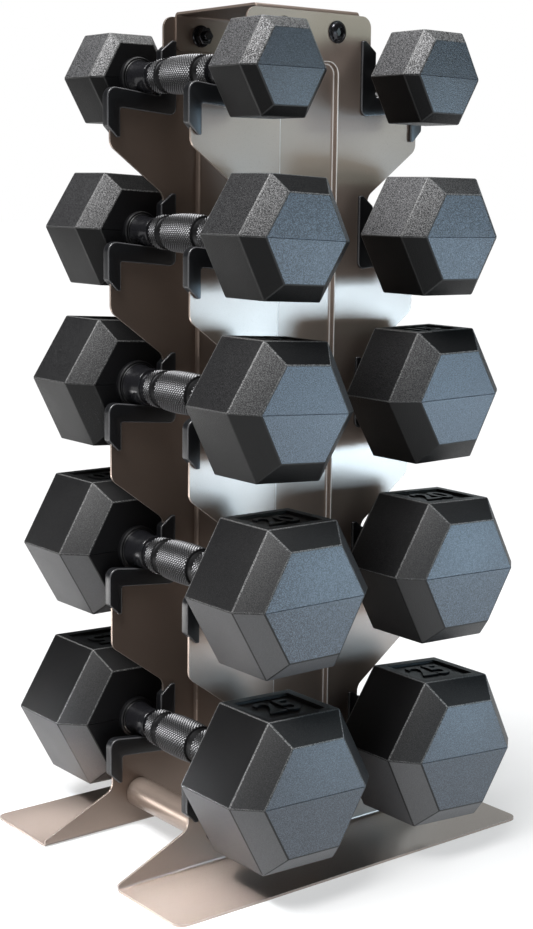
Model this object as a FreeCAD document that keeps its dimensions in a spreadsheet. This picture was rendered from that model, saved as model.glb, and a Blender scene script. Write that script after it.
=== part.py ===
import FreeCAD, Part
import math
import os

import Sketcher
from FreeCAD import Placement, Rotation, Vector

# Five-tier dumbbell rack with its ten hexagonal dumbbells, in millimetres.
# X runs along the two shaped plates, -Y is the front, +Z is up, and the origin
# is on the floor under the middle of the rack.

TIERS = (1, 2, 3, 4, 5)  # tier 1 is the top one
WEIGHTS = {1: "05", 2: "10", 3: "15", 4: "20", 5: "25"}
SIDES = {"left": -1, "right": 1}

RACK = {
    "sheet": 2.0,
    "rack_depth": 112.5,
    "rack_height": 680.0,
    "waist_half": 63.0,
    "arm_half": 115.0,
    "foot_half": 182.0,
    "foot_depth": 81.5,
    "foot_corner": 9.0,
    "bend_inner": 2.0,
    "top_corner": 9.0,
    "arm_corner": 10.0,
    "notch_corner": 4.0,
    "saddle_fall": 6.4,
    "arm_fall": 38.0,
    "flare_top": 35.5,
    "flare_end": 6.0,
    "panel_half": 28.4,
    "panel_top": 642.0,
    "panel_bottom": 60.0,
    "panel_depth": 4.0,
    "panel_corner": 9.0,
    "panel_edge": 1.5,
}

LINER = {
    "liner_wall": 4.0,
    "liner_width": 7.6,
    "liner_lip": 12.3,
    "liner_lap": 11.0,
    "leg_drop": 40.5,
    "leg_cut_drop": 31.5,
    "leg_cut": 9.0,
    "horn_rise": 38.0,
    "horn_cut_rise": 29.5,
    "horn_tip": 4.0,
    "band_outer": 17.0,
    "band_inner": 22.0,
    "liner_round": 8.0,
    "liner_heel": 6.0,
    "seat_corner": 3.0,
    "slot_reach": 50.0,
}

BRACKET = {
    "bracket_half": 52.0,
    "bracket_top": 683.5,
    "bracket_drop": 30.0,
    "bracket_corner": 6.0,
    "bolt_x": 27.0,
    "bolt_z": 666.0,
    "shank_radius": 4.0,
    "hole_radius": 4.2,
    "bolt_length": 15.0,
    "bolt_head": 8.8,
    "bolt_rim": 0.9,
    "bolt_slope": 7.2,
    "bolt_slope_height": 2.7,
    "bolt_flat": 4.0,
    "bolt_crown": 4.6,
    "socket": 2.9,
    "socket_depth": 2.4,
    "nut_radius": 7.5,
    "nut_flange": 8.8,
    "nut_height": 7.5,
    "nut_flange_height": 1.8,
}

TUBE = {
    "tube_x": 88.7,
    "tube_z": 28.5,
    "tube_radius": 12.5,
    "tube_bore": 11.0,
    "insert_length": 16.0,
}

DUMBBELL = {
    "rest_gap": 0.3,
    "boss": 5.0,
    "boss_rim": 5.0,
    "coat": 8.0,
    "stub_step": 2.0,
    "grip_half": 20.5,
    "grip_shoulder": 31.0,
    "ring_end": 40.0,
    "collar_start": 47.0,
    "groove_step": 2.0,
    "ring_step": 1.6,
    "shoulder_step": 0.6,
    "plaque_depth": 1.2,
    "plaque_margin": 7.0,
}

# Per tier: top of the liner, lowest corner of the arm, then the dumbbell's
# size across flats, end face across flats, the distances from its middle to
# the inner face, the two ends of the full section and the outer face, the
# radii of grip and neck, the core across flats, and how far the left and the
# right dumbbell sit towards the front.
TIER_COLUMNS = (
    "liner_top", "arm_low", "flats", "face", "inner", "full_in", "full_out",
    "outer", "grip", "neck", "core", "shift_left", "shift_right",
)
TIER_VALUES = {
    1: (623.0, 576.0, 71.0, 55.5, 72.0, 81.0, 118.5, 127.5, 15.0, 12.0, 51.5, 3.5, 3.5),
    2: (500.5, 443.0, 92.0, 66.0, 71.0, 86.0, 132.5, 146.0, 15.5, 11.5, 65.5, 4.8, 4.5),
    3: (369.0, 304.0, 105.5, 72.5, 70.0, 85.0, 136.0, 152.5, 17.0, 15.5, 78.0, 5.0, -4.0),
    4: (230.0, 161.0, 114.5, 84.0, 72.0, 90.0, 148.5, 165.0, 17.0, 14.5, 85.5, 5.7, 2.4),
    5: (81.5, 0.0, 120.5, 86.5, 74.0, 91.0, 152.5, 170.5, 17.0, 12.5, 96.0, 2.3, 1.1),
}
ROLL = {  # degrees that each dumbbell is turned about its own axis
    "left": (0.0, 3.0, 3.3, 0.0, 1.8),
    "right": (0.9, 0.7, -0.8, 1.8, 4.0),
}

RACK_FORMULAS = {
    "half_depth": "=rack_depth / 2",
    "inner_half_depth": "=rack_depth / 2 - sheet",
    "mid_sheet": "=rack_depth / 2 - sheet / 2",
    "foot_edge": "=rack_depth / 2 + foot_depth",
    "bend_outer": "=bend_inner + sheet",
    "panel_out": "=panel_half + sheet",
    "panel_out_top": "=panel_top + sheet",
    "panel_out_bottom": "=panel_bottom - sheet",
    "panel_out_corner": "=panel_corner + sheet",
    "liner_out": "=arm_half + liner_wall",
    "liner_seat": "=waist_half + liner_wall",
    "lip_in": "=arm_half + liner_wall - liner_lip",
    "lip_cut": "=arm_half + liner_wall - leg_cut",
    "horn_in": "=waist_half - liner_lap",
    "horn_cut": "=waist_half - liner_lap + horn_tip",
    "horn_base": "=saddle_fall + liner_wall",
    "seat_length": "=arm_half - waist_half",
    "bracket_low": "=bracket_top - bracket_drop",
    "bracket_in": "=rack_depth / 2 - 2 * sheet",
    "bracket_under": "=bracket_top - sheet",
    "bracket_span": "=2 * bracket_half",
    "tube_length": "=rack_depth - 2 * sheet",
    "cavity_start": "=boss + coat",
}

TIER_FORMULAS = {
    "saddle_out": "=liner_top_{n} - liner_wall",
    "saddle_in": "=liner_top_{n} - liner_wall - saddle_fall",
    "arm_root": "=arm_low_{n} - arm_fall",
    "rest_x": "=waist_half + liner_wall + neck_{n} + rest_gap",
    "rest_z": "=liner_top_{n} - saddle_fall * (arm_half + liner_wall - rest_x_{n}) / seat_length"
              " + neck_{n} * sqrt(1 + (saddle_fall / seat_length)^2) + rest_gap",
    "full_radius": "=flats_{n} / sqrt(3)",
    "face_radius": "=face_{n} / sqrt(3)",
    "core_radius": "=core_{n} / sqrt(3)",
    "core_in": "=inner_{n} + coat",
    "core_out": "=outer_{n} - coat",
    "core_length": "=outer_{n} - inner_{n} - 2 * coat",
    "boss_face": "=inner_{n} - boss",
    "boss_radius": "=neck_{n} + boss_rim",
    "stub": "=neck_{n} - stub_step",
    "groove": "=neck_{n} - groove_step",
    "ring": "=grip_{n} - ring_step",
    "shoulder": "=grip_{n} - shoulder_step",
    "plaque_in": "=full_in_{n} + plaque_margin",
    "plaque_out": "=full_out_{n} - plaque_margin",
    "plaque_half": "=flats_{n} / (2 * sqrt(3)) - plaque_margin",
    "top_flat": "=flats_{n} / 2",
}

doc = FreeCAD.newDocument("DumbbellRack")
sheet = doc.addObject("Spreadsheet::Sheet", "Dimensions")


def fill_sheet():
    """Write driving values, then the values that follow from them."""
    cells = {}
    for table in (RACK, LINER, BRACKET, TUBE, DUMBBELL):
        cells.update({name: str(number) for name, number in table.items()})
    for tier in TIERS:
        for name, number in zip(TIER_COLUMNS, TIER_VALUES[tier]):
            cells[f"{name}_{tier}"] = str(number)
    cells.update(RACK_FORMULAS)
    for tier in TIERS:
        for name, formula in TIER_FORMULAS.items():
            cells[f"{name}_{tier}"] = formula.format(n=tier)
    for row, (name, content) in enumerate(cells.items(), start=1):
        sheet.set(f"A{row}", name)
        sheet.set(f"B{row}", content)
        sheet.setAlias(f"B{row}", name)
    doc.recompute()


def size(name):
    """The number in the sheet under an alias; a leading minus turns its sign."""
    if name == "0":
        return 0.0
    if name.startswith("-"):
        return -float(getattr(sheet, name[1:]))
    return float(getattr(sheet, name))


def bind(item, prop, name):
    """Tie a property of an object to a sheet cell."""
    item.setExpression(prop, "Dimensions." + name)


def plane_of(body, role):
    """One of the body's own origin planes."""
    return next(item for item in body.Origin.OriginFeatures if item.Role == role)


def new_body(label):
    body = doc.addObject("PartDesign::Body", label)
    body.Label = label
    return body


def new_sketch(body, role, offset=None):
    """A sketch on an origin plane, moved along the plane's normal by a sheet value."""
    sketch = body.newObject("Sketcher::SketchObject", body.Name + "_sketch")
    sketch.AttachmentSupport = [(plane_of(body, role), "")]
    sketch.MapMode = "FlatFace"
    if offset is not None:
        sketch.AttachmentOffset = Placement(Vector(0, 0, size(offset)), Rotation())
        sign = "-" if offset.startswith("-") else ""
        sketch.setExpression("AttachmentOffset.Base.z", sign + "Dimensions." + offset.lstrip("-"))
    return sketch


def hold_coordinate(sketch, kind, line, point, name):
    """Fix one coordinate of a point to a sheet value, measured from the sketch's origin."""
    if name == "0":
        axis = -2 if kind == "DistanceX" else -1
        sketch.addConstraint(Sketcher.Constraint("PointOnObject", line, point, axis))
        return
    ends = (line, point, -1, 1) if name.startswith("-") else (-1, 1, line, point)
    index = sketch.addConstraint(Sketcher.Constraint(kind, *ends, abs(size(name))))
    sketch.setExpression(f"Constraints[{index}]", "Dimensions." + name.lstrip("-"))


def draw_outline(sketch, corners):
    """A closed polygon whose corners are pairs of sheet names."""
    points = [Vector(size(across), size(along), 0) for across, along in corners]
    first = sketch.GeometryCount
    count = len(points)
    for index in range(count):
        sketch.addGeometry(Part.LineSegment(points[index], points[(index + 1) % count]), False)
    for index in range(count):
        following = first + (index + 1) % count
        sketch.addConstraint(Sketcher.Constraint("Coincident", first + index, 2, following, 1))
    for index, (across, along) in enumerate(corners):
        hold_coordinate(sketch, "DistanceX", first + index, 1, across)
        hold_coordinate(sketch, "DistanceY", first + index, 1, along)


def draw_circle(sketch, across, along, radius):
    """A circle whose centre and radius are sheet names."""
    centre = Vector(size(across), size(along), 0)
    circle = sketch.addGeometry(Part.Circle(centre, Vector(0, 0, 1), size(radius)), False)
    if across == along == "0":
        sketch.addConstraint(Sketcher.Constraint("Coincident", circle, 3, -1, 1))
    else:
        hold_coordinate(sketch, "DistanceX", circle, 3, across)
        hold_coordinate(sketch, "DistanceY", circle, 3, along)
    index = sketch.addConstraint(Sketcher.Constraint("Radius", circle, size(radius)))
    sketch.setExpression(f"Constraints[{index}]", "Dimensions." + radius)


def draw_hexagon(sketch, radius):
    """A hexagon about the sketch's origin with flats at top and bottom."""
    length = size(radius)
    guide = sketch.addGeometry(Part.Circle(Vector(0, 0, 0), Vector(0, 0, 1), length), True)
    sketch.addConstraint(Sketcher.Constraint("Coincident", guide, 3, -1, 1))
    index = sketch.addConstraint(Sketcher.Constraint("Radius", guide, length))
    sketch.setExpression(f"Constraints[{index}]", "Dimensions." + radius)
    angles = [math.radians(60 * step) for step in range(7)]
    points = [Vector(length * math.cos(turn), length * math.sin(turn), 0) for turn in angles]
    first = guide + 1
    for start, end in zip(points[:-1], points[1:]):
        sketch.addGeometry(Part.LineSegment(start, end), False)
    for step in range(6):
        line = first + step
        sketch.addConstraint(Sketcher.Constraint("Coincident", line, 2, first + (step + 1) % 6, 1))
        sketch.addConstraint(Sketcher.Constraint("PointOnObject", line, 1, guide))
        if step > 0:
            sketch.addConstraint(Sketcher.Constraint("Equal", first, line))
    sketch.addConstraint(Sketcher.Constraint("Horizontal", first + 1))


def extrude(body, kind, sketch, length, away=False, centred=False):
    """A Pad or Pocket of a sketch whose length is a sheet name."""
    feature = body.newObject("PartDesign::" + kind, body.Name + "_" + kind.lower())
    feature.Profile = sketch
    bind(feature, "Length", length)
    feature.Reversed = away
    feature.Midplane = centred
    return feature


def checked_cut(body, feature):
    """Recompute a cut and make sure that it took material away."""
    before = feature.BaseFeature.Shape.Volume
    doc.recompute()
    if feature.Shape.Volume >= before:
        raise RuntimeError(f"{body.Label}: {feature.Name} removed nothing")


def edges_through(shape, axis, places):
    """Names of the straight edges parallel to an axis that pass through the given places.

    A place is a pair of the other two coordinates, in X, Y, Z order.
    """
    direction = {"X": Vector(1, 0, 0), "Y": Vector(0, 1, 0), "Z": Vector(0, 0, 1)}[axis]
    names = []
    for number, edge in enumerate(shape.Edges, start=1):
        if not isinstance(edge.Curve, Part.Line):
            continue
        if abs(abs(edge.Curve.Direction * direction) - 1) > 1e-6:
            continue
        spot = edge.Vertexes[0].Point
        here = {"X": (spot.y, spot.z), "Y": (spot.x, spot.z), "Z": (spot.x, spot.y)}[axis]
        if any(math.dist(here, place) < 0.01 for place in places):
            names.append(f"Edge{number}")
    return names


def dress_up(body, kind, base, edges, radius):
    """A Fillet on named edges whose radius is a sheet name."""
    if not edges:
        raise RuntimeError(f"{body.Label}: no edges for {radius}")
    feature = body.newObject("PartDesign::" + kind, body.Name + "_" + radius)
    feature.Base = (base, edges)
    bind(feature, "Radius", radius)
    doc.recompute()
    return feature


def both_sides(places):
    """Each place, and its mirror image across X = 0."""
    return [place for across, up in places for place in ((-across, up), (across, up))]


def place(item, position, rotation=Rotation()):
    """Set a placement, tying the coordinates that name a sheet value."""
    base = Vector(*[size(name) for name in position])
    item.Placement = Placement(base, rotation)
    for letter, name in zip("xyz", position):
        if name != "0":
            sign = "-" if name.startswith("-") else ""
            item.setExpression("Placement.Base." + letter, sign + "Dimensions." + name.lstrip("-"))


def group(label, members):
    """One node that holds several separate solids."""
    compound = doc.addObject("Part::Compound", label)
    compound.Label = label
    compound.Links = members
    return compound


def shaped_plate(label, rotation):
    """A sheet-metal side of the rack, cut to five pairs of arms, with its foot bent outwards."""
    body = new_body(label)
    halves = []

    def half_pad(corners):
        sketch = new_sketch(body, "XZ_Plane", "half_depth")
        draw_outline(sketch, corners)
        halves.append(extrude(body, "Pad", sketch, "sheet", away=True))

    half_pad([("0", "0"), ("0", "rack_height"), ("-waist_half", "rack_height"), ("-waist_half", "0")])
    for tier in TIERS[:-1]:
        half_pad([
            ("-waist_half", f"saddle_in_{tier}"),
            ("-arm_half", f"saddle_out_{tier}"),
            ("-arm_half", f"arm_low_{tier}"),
            ("-waist_half", f"arm_root_{tier}"),
        ])
    half_pad([
        ("-waist_half", "saddle_in_5"),
        ("-arm_half", "saddle_out_5"),
        ("-arm_half", "flare_top"),
        ("-foot_half", "flare_end"),
        ("-foot_half", "0"),
        ("-waist_half", "0"),
    ])
    foot = new_sketch(body, "XY_Plane")
    draw_outline(foot, [
        ("0", "-foot_edge"),
        ("-foot_half", "-foot_edge"),
        ("-foot_half", "-inner_half_depth"),
        ("0", "-inner_half_depth"),
    ])
    halves.append(extrude(body, "Pad", foot, "sheet"))
    doc.recompute()

    whole = body.newObject("PartDesign::Mirrored", label + "_mirrored")
    whole.Originals = halves
    whole.MirrorPlane = (plane_of(body, "YZ_Plane"), [""])
    body.Tip = whole
    doc.recompute()

    boss = new_sketch(body, "XZ_Plane", "inner_half_depth")
    draw_outline(boss, [
        ("-panel_out", "panel_out_bottom"), ("panel_out", "panel_out_bottom"),
        ("panel_out", "panel_out_top"), ("-panel_out", "panel_out_top"),
    ])
    raised = extrude(body, "Pad", boss, "panel_depth", away=True)
    doc.recompute()
    recess = new_sketch(body, "XZ_Plane", "half_depth")
    draw_outline(recess, [
        ("-panel_half", "panel_bottom"), ("panel_half", "panel_bottom"),
        ("panel_half", "panel_top"), ("-panel_half", "panel_top"),
    ])
    pressed = extrude(body, "Pocket", recess, "panel_depth")
    checked_cut(body, pressed)

    holes = new_sketch(body, "XZ_Plane", "half_depth")
    for across in ("-bolt_x", "bolt_x"):
        draw_circle(holes, across, "bolt_z", "hole_radius")
    for across in ("-tube_x", "tube_x"):
        draw_circle(holes, across, "tube_z", "hole_radius")
    drilled = extrude(body, "Pocket", holes, "sheet")
    checked_cut(body, drilled)

    arm, waist = size("arm_half"), size("waist_half")
    rounds = (
        ("top_corner", [(waist, size("rack_height"))]),
        ("notch_corner", [(waist, size(f"saddle_in_{tier}")) for tier in TIERS]
         + [(arm, size(f"saddle_out_{tier}")) for tier in TIERS]),
        ("arm_corner", [(arm, size(f"arm_low_{tier}")) for tier in TIERS[:-1]]
         + [(waist, size(f"arm_root_{tier}")) for tier in TIERS[:-1]]
         + [(arm, size("flare_top"))]),
        ("panel_corner", [(size("panel_half"), size("panel_top")),
                          (size("panel_half"), size("panel_bottom"))]),
        ("panel_out_corner", [(size("panel_out"), size("panel_out_top")),
                              (size("panel_out"), size("panel_out_bottom"))]),
    )
    last = drilled
    for radius, places in rounds:
        last = dress_up(body, "Fillet", last, edges_through(last.Shape, "Y", both_sides(places)), radius)
    foot_ends = both_sides([(size("foot_half"), -size("foot_edge"))])
    last = dress_up(body, "Fillet", last, edges_through(last.Shape, "Z", foot_ends), "foot_corner")
    inside = edges_through(last.Shape, "X", [(-size("half_depth"), size("sheet"))])
    last = dress_up(body, "Fillet", last, inside, "bend_inner")
    outside = edges_through(last.Shape, "X", [(-size("inner_half_depth"), 0.0)])
    last = dress_up(body, "Fillet", last, outside, "bend_outer")
    rim = [-size("half_depth"), size("panel_depth") - size("inner_half_depth")]
    dress_up(body, "Fillet", last, panel_edges(last.Shape, rim), "panel_edge")
    place(body, ("0", "0", "0"), rotation)
    return body


def panel_edges(shape, depths):
    """Names of the edges of the pressed panel that lie at the given depths."""
    reach = size("panel_out") + 1
    names = []
    for number, edge in enumerate(shape.Edges, start=1):
        box = edge.BoundBox
        flat = any(abs(box.YMin - depth) < 0.01 and abs(box.YMax - depth) < 0.01 for depth in depths)
        near = max(abs(box.XMin), abs(box.XMax)) < reach and box.ZMin > size("bend_outer")
        if flat and near and box.ZMax < size("panel_out_top") + 1:
            names.append(f"Edge{number}")
    return names


def liner(label):
    """One plastic channel liner for the left arm of a plate, its top at Z = 0."""
    body = new_body(label)
    outline = new_sketch(body, "XZ_Plane", "mid_sheet")
    draw_outline(outline, [
        ("-liner_out", "-leg_cut_drop"),
        ("-liner_out", "0"),
        ("-liner_seat", "-saddle_fall"),
        ("-liner_seat", "horn_cut_rise"),
        ("-horn_cut", "horn_rise"),
        ("-horn_in", "horn_rise"),
        ("-horn_in", "-band_inner"),
        ("-lip_in", "-band_outer"),
        ("-lip_in", "-leg_drop"),
        ("-lip_cut", "-leg_drop"),
    ])
    block = extrude(body, "Pad", outline, "liner_width", centred=True)
    doc.recompute()
    slot = new_sketch(body, "XZ_Plane", "mid_sheet")
    draw_outline(slot, [
        ("-arm_half", "-slot_reach"),
        ("-arm_half", "-liner_wall"),
        ("-waist_half", "-horn_base"),
        ("-waist_half", "slot_reach"),
        ("0", "slot_reach"),
        ("0", "-slot_reach"),
    ])
    channel = extrude(body, "Pocket", slot, "sheet", centred=True)
    checked_cut(body, channel)
    arm, waist = size("arm_half"), size("waist_half")
    rounds = (
        ("notch_corner", [(-arm, -size("liner_wall")), (-waist, -size("horn_base"))]),
        ("liner_round", [(-size("liner_out"), 0.0)]),
        ("liner_heel", [(-size("horn_in"), -size("band_inner"))]),
        ("seat_corner", [(-size("liner_seat"), -size("saddle_fall")),
                         (-size("liner_seat"), size("horn_cut_rise"))]),
    )
    last = channel
    for radius, places in rounds:
        last = dress_up(body, "Fillet", last, edges_through(last.Shape, "Y", places), radius)
    return body


def liner_pair(tier, side):
    """The front and back liners of one arm level, on one side of the rack."""
    label = f"cradle_pair_{tier}_{side}"
    front = liner(label + "_front")
    back = doc.addObject("Part::Mirroring", label + "_back")
    back.Source = front
    back.Normal = Vector(0, 1, 0)
    pair = group(label, [front, back])
    turn = Rotation(Vector(0, 0, 1), 0 if side == "left" else 180)
    place(pair, ("0", "0", f"liner_top_{tier}"), turn)
    return pair


def top_bracket():
    """The inverted channel that joins the plates at the top."""
    body = new_body("top_bracket")
    section = new_sketch(body, "YZ_Plane")
    draw_outline(section, [
        ("-inner_half_depth", "bracket_low"),
        ("-inner_half_depth", "bracket_top"),
        ("inner_half_depth", "bracket_top"),
        ("inner_half_depth", "bracket_low"),
        ("bracket_in", "bracket_low"),
        ("bracket_in", "bracket_under"),
        ("-bracket_in", "bracket_under"),
        ("-bracket_in", "bracket_low"),
    ])
    channel = extrude(body, "Pad", section, "bracket_span", centred=True)
    doc.recompute()
    holes = new_sketch(body, "XZ_Plane", "inner_half_depth")
    for across in ("-bolt_x", "bolt_x"):
        draw_circle(holes, across, "bolt_z", "hole_radius")
    drilled = extrude(body, "Pocket", holes, "tube_length")
    checked_cut(body, drilled)
    flange, inner = size("inner_half_depth"), size("bracket_in")
    outer_bends = [(-flange, size("bracket_top")), (flange, size("bracket_top"))]
    inner_bends = [(-inner, size("bracket_under")), (inner, size("bracket_under"))]
    corners = both_sides([(size("bracket_half"), size("bracket_low"))])
    last = drilled
    for axis, places, radius in (
        ("X", outer_bends, "bend_outer"),
        ("X", inner_bends, "bend_inner"),
        ("Y", corners, "bracket_corner"),
    ):
        last = dress_up(body, "Fillet", last, edges_through(last.Shape, axis, places), radius)
    return body


def bottom_tube(side):
    """A round steel cross tube between the plates, hollow right through."""
    outside = doc.addObject("Part::Cylinder", f"tube_{side}_outside")
    bore = doc.addObject("Part::Cylinder", f"tube_{side}_bore")
    for cylinder, radius in ((outside, "tube_radius"), (bore, "tube_bore")):
        bind(cylinder, "Radius", radius)
        bind(cylinder, "Height", "tube_length")
    tube = doc.addObject("Part::Cut", f"bottom_tube_{side}")
    tube.Label = f"bottom_tube_{side}"
    tube.Base = outside
    tube.Tool = bore
    across = "-tube_x" if side == "left" else "tube_x"
    place(tube, (across, "-inner_half_depth", "tube_z"), Rotation(Vector(1, 0, 0), -90))
    return tube


def button_bolt(name, across, up, facing):
    """A flanged button-head screw with a hexagon socket, its head outside a plate."""
    body = new_body(name)
    profile = new_sketch(body, "XZ_Plane")
    draw_outline(profile, [
        ("0", "bolt_crown"),
        ("bolt_flat", "bolt_crown"),
        ("bolt_slope", "bolt_slope_height"),
        ("bolt_head", "bolt_rim"),
        ("bolt_head", "0"),
        ("shank_radius", "0"),
        ("shank_radius", "-bolt_length"),
        ("0", "-bolt_length"),
    ])
    turned = body.newObject("PartDesign::Revolution", name + "_turned")
    turned.Profile = profile
    turned.ReferenceAxis = (profile, ["V_Axis"])
    turned.Angle = 360
    doc.recompute()
    key = new_sketch(body, "XY_Plane", "bolt_crown")
    draw_hexagon(key, "socket")
    checked_cut(body, extrude(body, "Pocket", key, "socket_depth"))
    place_fastener(body, across, up, "half_depth", facing)
    return body


def place_fastener(item, across, up, depth, facing, inwards=False):
    """Stand a fastener at the front (-1) or back (1), its own +Z pointing away from the rack.

    With inwards, +Z points towards the rack's middle instead.
    """
    along = depth if facing > 0 else "-" + depth
    turn = 90 * facing if inwards else -90 * facing
    place(item, (across, along, up), Rotation(Vector(1, 0, 0), turn))


def flange_nut(name, across, up, facing):
    """A flanged hexagon nut inside the top bracket."""
    nut = doc.addObject("Part::Prism", name + "_hexagon")
    nut.Polygon = 6
    bind(nut, "Circumradius", "nut_radius")
    bind(nut, "Height", "nut_height")
    flange = doc.addObject("Part::Cylinder", name + "_flange")
    bind(flange, "Radius", "nut_flange")
    bind(flange, "Height", "nut_flange_height")
    blank = doc.addObject("Part::Fuse", name + "_blank")
    blank.Base = nut
    blank.Tool = flange
    thread = doc.addObject("Part::Cylinder", name + "_thread")
    bind(thread, "Radius", "shank_radius")
    bind(thread, "Height", "nut_height")
    finished = doc.addObject("Part::Cut", name)
    finished.Base = blank
    finished.Tool = thread
    place_fastener(finished, across, up, "bracket_in", facing, inwards=True)
    return finished


def tube_insert(name, across, facing):
    """A threaded plug pressed into one end of a bottom tube."""
    plug = doc.addObject("Part::Cylinder", name + "_plug")
    bind(plug, "Radius", "tube_bore")
    bind(plug, "Height", "insert_length")
    thread = doc.addObject("Part::Cylinder", name + "_thread")
    bind(thread, "Radius", "shank_radius")
    bind(thread, "Height", "insert_length")
    insert = doc.addObject("Part::Cut", name)
    insert.Base = plug
    insert.Tool = thread
    place_fastener(insert, across, "tube_z", "inner_half_depth", facing, inwards=True)
    return insert


def four_fasteners(label, maker, spread, *height):
    """A node of four equal fasteners, at both ends of both plates."""
    members = []
    for facing in (-1, 1):
        for across in ("-" + spread, spread):
            name = f"{label}_{len(members) + 1}"
            members.append(maker(name, across, *height, facing))
    return group(label, members)


def dumbbell_place(item, tier, side, turned=False):
    """Rest a dumbbell's piece in its cradles, rolled about the handle."""
    across = f"rest_x_{tier}" if side == "right" else f"-rest_x_{tier}"
    roll = Rotation(Vector(0, 1, 0), ROLL[side][tier - 1])
    half_turn = Rotation(Vector(0, 0, 1), 180 if turned else 0)
    place(item, (across, f"-shift_{side}_{tier}", f"rest_z_{tier}"), roll * half_turn)


def handle(tier, side):
    """The steel handle: swelling grip, shoulders, side rings, collars and pressed-in ends."""
    name = f"dumbbell_{WEIGHTS[tier]}_{side}_handle"
    body = new_body(name)
    profile = new_sketch(body, "XY_Plane")
    draw_outline(profile, [
        ("0", "0"),
        (f"grip_{tier}", "0"),
        (f"shoulder_{tier}", "grip_half"),
        (f"ring_{tier}", "grip_shoulder"),
        (f"neck_{tier}", "ring_end"),
        (f"groove_{tier}", "ring_end"),
        (f"groove_{tier}", "collar_start"),
        (f"neck_{tier}", "collar_start"),
        (f"neck_{tier}", f"boss_face_{tier}"),
        (f"stub_{tier}", f"boss_face_{tier}"),
        (f"stub_{tier}", f"core_out_{tier}"),
        ("0", f"core_out_{tier}"),
    ])
    half = body.newObject("PartDesign::Revolution", name + "_half")
    half.Profile = profile
    half.ReferenceAxis = (profile, ["V_Axis"])
    half.Angle = 360
    doc.recompute()
    whole = body.newObject("PartDesign::Mirrored", name + "_whole")
    whole.Originals = [half]
    whole.MirrorPlane = (plane_of(body, "XZ_Plane"), [""])
    body.Tip = whole
    dumbbell_place(body, tier, side)
    return body


def head(tier, side, end):
    """One hexagonal rubber head: bevelled at both ends, hollow for its iron core."""
    name = f"dumbbell_{WEIGHTS[tier]}_{side}_{end}_head"
    body = new_body(name)
    sections = []
    for radius, along in (
        (f"face_radius_{tier}", f"inner_{tier}"),
        (f"full_radius_{tier}", f"full_in_{tier}"),
        (f"full_radius_{tier}", f"full_out_{tier}"),
        (f"face_radius_{tier}", f"outer_{tier}"),
    ):
        section = new_sketch(body, "XZ_Plane", along)
        draw_hexagon(section, radius)
        sections.append(section)
    block = body.newObject("PartDesign::AdditiveLoft", name + "_block")
    block.Profile = sections[0]
    block.Sections = sections[1:]
    block.Ruled = True
    doc.recompute()
    ring = new_sketch(body, "XZ_Plane", f"boss_face_{tier}")
    draw_circle(ring, "0", "0", f"boss_radius_{tier}")
    extrude(body, "Pad", ring, "boss")
    doc.recompute()
    hole = new_sketch(body, "XZ_Plane", f"boss_face_{tier}")
    draw_circle(hole, "0", "0", f"stub_{tier}")
    checked_cut(body, extrude(body, "Pocket", hole, "cavity_start", away=True))
    hollow = new_sketch(body, "XZ_Plane", f"core_in_{tier}")
    draw_hexagon(hollow, f"core_radius_{tier}")
    checked_cut(body, extrude(body, "Pocket", hollow, f"core_length_{tier}", away=True))
    plaque = new_sketch(body, "XY_Plane", f"top_flat_{tier}")
    draw_outline(plaque, [
        (f"-plaque_half_{tier}", f"-plaque_in_{tier}"),
        (f"plaque_half_{tier}", f"-plaque_in_{tier}"),
        (f"plaque_half_{tier}", f"-plaque_out_{tier}"),
        (f"-plaque_half_{tier}", f"-plaque_out_{tier}"),
    ])
    checked_cut(body, extrude(body, "Pocket", plaque, "plaque_depth"))
    dumbbell_place(body, tier, side, turned=(end == "back"))
    return body


def cores(tier, side):
    """The two cast-iron cores inside a dumbbell's rubber heads."""
    name = f"dumbbell_{WEIGHTS[tier]}_{side}_cores"
    members = []
    for end, facing in (("front", -1), ("back", 1)):
        block = doc.addObject("Part::Prism", f"{name}_{end}_block")
        block.Polygon = 6
        bind(block, "Circumradius", f"core_radius_{tier}")
        bore = doc.addObject("Part::Cylinder", f"{name}_{end}_bore")
        bind(bore, "Radius", f"stub_{tier}")
        for solid in (block, bore):
            bind(solid, "Height", f"core_length_{tier}")
        core = doc.addObject("Part::Cut", f"{name}_{end}")
        core.Base = block
        core.Tool = bore
        along = f"core_in_{tier}" if facing > 0 else f"-core_in_{tier}"
        place(core, ("0", along, "0"), Rotation(Vector(1, 0, 0), -90 * facing))
        members.append(core)
    pair = group(name, members)
    dumbbell_place(pair, tier, side)
    return pair


def write_steps(nodes):
    """Stop on any failed feature or bad shape, then write one STEP file per node."""
    for item in doc.Objects:
        if "Invalid" in item.State or "Error" in item.State:
            raise RuntimeError(f"{item.Label} did not recompute: {item.State}")
    for node in nodes:
        if node.Shape.isNull() or not node.Shape.isValid():
            raise RuntimeError(f"{node.Label} has a bad shape")
    os.makedirs("parts", exist_ok=True)
    for node in nodes:
        node.Shape.exportStep(f"parts/{node.Label}.step")


def build():
    fill_sheet()
    nodes = [
        shaped_plate("front_plate", Rotation()),
        shaped_plate("back_plate", Rotation(Vector(0, 0, 1), 180)),
        top_bracket(),
        four_fasteners("bracket_bolts", button_bolt, "bolt_x", "bolt_z"),
        four_fasteners("bracket_nuts", flange_nut, "bolt_x", "bolt_z"),
        four_fasteners("tube_bolts", button_bolt, "tube_x", "tube_z"),
        four_fasteners("tube_inserts", tube_insert, "tube_x"),
    ]
    for side in SIDES:
        nodes.append(bottom_tube(side))
        for tier in TIERS:
            nodes.append(liner_pair(tier, side))
            nodes.append(handle(tier, side))
            nodes.append(cores(tier, side))
            nodes.append(head(tier, side, "front"))
            nodes.append(head(tier, side, "back"))
    doc.recompute()
    write_steps(nodes)
    for node in nodes:
        print(f"{node.Label}: {node.Shape.Volume / 1000:.1f} cm3, {len(node.Shape.Solids)} solid(s)")


build()
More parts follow.
